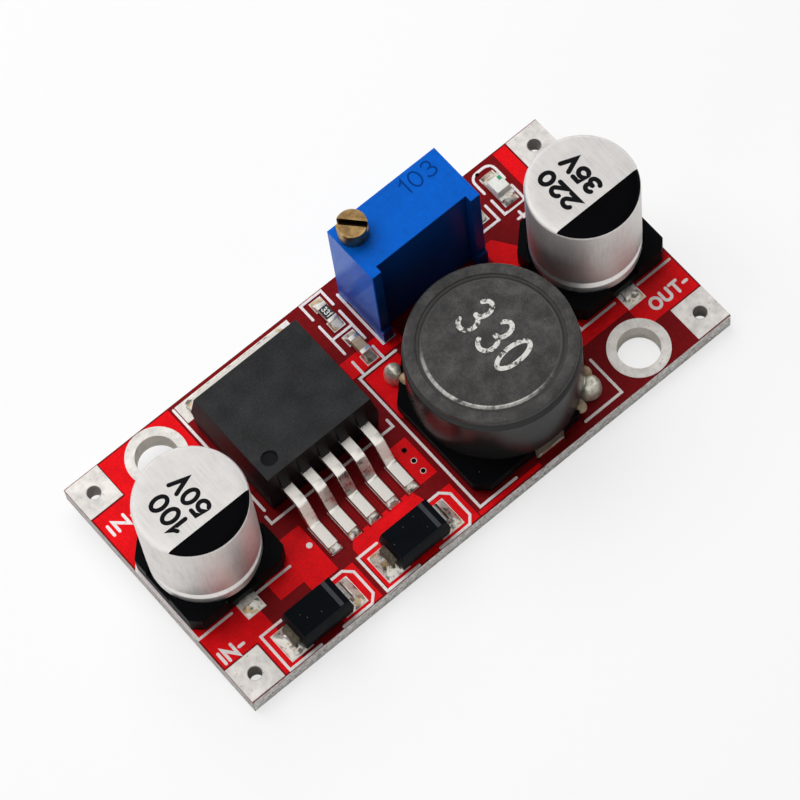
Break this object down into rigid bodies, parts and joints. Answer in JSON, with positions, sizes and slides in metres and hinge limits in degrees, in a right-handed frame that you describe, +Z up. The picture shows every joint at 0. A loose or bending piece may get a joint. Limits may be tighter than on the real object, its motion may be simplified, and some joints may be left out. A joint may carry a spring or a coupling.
{
  "type": "buck converter module",
  "caption": "Step-down power module: red circuit board with can capacitors, round inductor, tabbed regulator, diodes and a screw-adjusted trimmer.",
  "frame": {"origin": "middle of the board's underside, which is also the centre of the two mounting holes' circle", "axes": "+X along the board from the input end to the output end, +Y to the long edge that carries the trimmer, +Z up out of the component side"},
  "size_m": [0.043, 0.0208, 0.0141],
  "materials": {
    "solder_mask": "glossy red solder mask over glass laminate",
    "tinned_copper": "dull tin over copper",
    "can_aluminium": "satin drawn aluminium",
    "black_moulding": "smooth black moulding",
    "chip_moulding": "matte charcoal moulding",
    "diode_moulding": "matte blue-black moulding",
    "ferrite": "dark speckled ferrite",
    "copper_wire": "enamelled copper",
    "solder": "bright solder",
    "tinned_lead": "bright tin",
    "white_ceramic": "white alumina",
    "tan_ceramic": "fired tan ceramic",
    "black_glaze": "black glaze",
    "led_base": "pale resin board",
    "led_lens": "milky clear resin",
    "trimmer_blue": "satin blue moulding",
    "screw_brass": "turned brass",
    "wheel_plastic": "cream moulding",
    "wiper_metal": "spring alloy",
    "seal_rubber": "black rubber",
    "potting_resin": "cured blue resin"
  },
  "bodies": {
    "module": {"circuit_board": "solder_mask", "in_plus_pad": "tinned_copper", "in_minus_pad": "tinned_copper", "out_plus_pad": "tinned_copper", "out_minus_pad": "tinned_copper", "mounting_ring_left": "tinned_copper", "mounting_ring_right": "tinned_copper", "component_pads": "tinned_copper", "input_capacitor_can": "can_aluminium", "input_capacitor_seat": "black_moulding", "input_capacitor_plus_lead": "tinned_lead", "input_capacitor_minus_lead": "tinned_lead", "output_capacitor_can": "can_aluminium", "output_capacitor_seat": "black_moulding", "output_capacitor_plus_lead": "tinned_lead", "output_capacitor_minus_lead": "tinned_lead", "capacitor_solder": "solder", "regulator_body": "chip_moulding", "regulator_heat_tab": "tinned_lead", "regulator_lead_1": "tinned_lead", "regulator_lead_2": "tinned_lead", "regulator_lead_4": "tinned_lead", "regulator_lead_5": "tinned_lead", "regulator_solder": "solder", "inductor_base": "black_moulding", "inductor_shield_ring": "ferrite", "inductor_drum_core": "ferrite", "inductor_winding": "copper_wire", "inductor_terminal_front": "tinned_lead", "inductor_terminal_back": "tinned_lead", "inductor_wire_joints": "solder", "inductor_solder": "solder", "input_diode_body": "diode_moulding", "input_diode_anode_lead": "tinned_lead", "input_diode_cathode_lead": "tinned_lead", "catch_diode_body": "diode_moulding", "catch_diode_anode_lead": "tinned_lead", "catch_diode_cathode_lead": "tinned_lead", "diode_solder": "solder", "feedback_resistor_body": "white_ceramic", "feedback_resistor_coat": "black_glaze", "feedback_resistor_end_caps": "tinned_lead", "feedback_capacitor_body": "tan_ceramic", "feedback_capacitor_end_caps": "tinned_lead", "led_resistor_body": "white_ceramic", "led_resistor_coat": "black_glaze", "led_resistor_end_caps": "tinned_lead", "led_base": "led_base", "led_lens": "led_lens", "led_terminals": "tinned_lead", "small_part_solder": "solder", "trimmer_case": "trimmer_blue", "trimmer_element": "white_ceramic", "trimmer_seal_ring": "seal_rubber", "trimmer_potting": "potting_resin", "trimmer_pins": "tinned_lead", "trimmer_solder": "solder"},
    "adjuster": {"trimmer_screw": "screw_brass"},
    "wiper_wheel": {"trimmer_worm_wheel": "wheel_plastic", "trimmer_wiper": "wiper_metal"}
  },
  "joints": [
    {"name": "screw_turn", "type": "hinge", "parent": "module", "child": "adjuster", "pos_m": [0.00347, 0.00783, 0.0069], "axis": [0, 0, 1], "range_deg": [-4500, 4500]},
    {"name": "wheel_turn", "type": "hinge", "parent": "module", "child": "wiper_wheel", "pos_m": [0.00707, 0.00783, 0.0069], "axis": [0, 1, 0], "range_deg": [-151, 151]}
  ],
  "couplings": [
    {"joint": "wheel_turn", "follows": "screw_turn", "ratio": -0.033333}
  ]
}
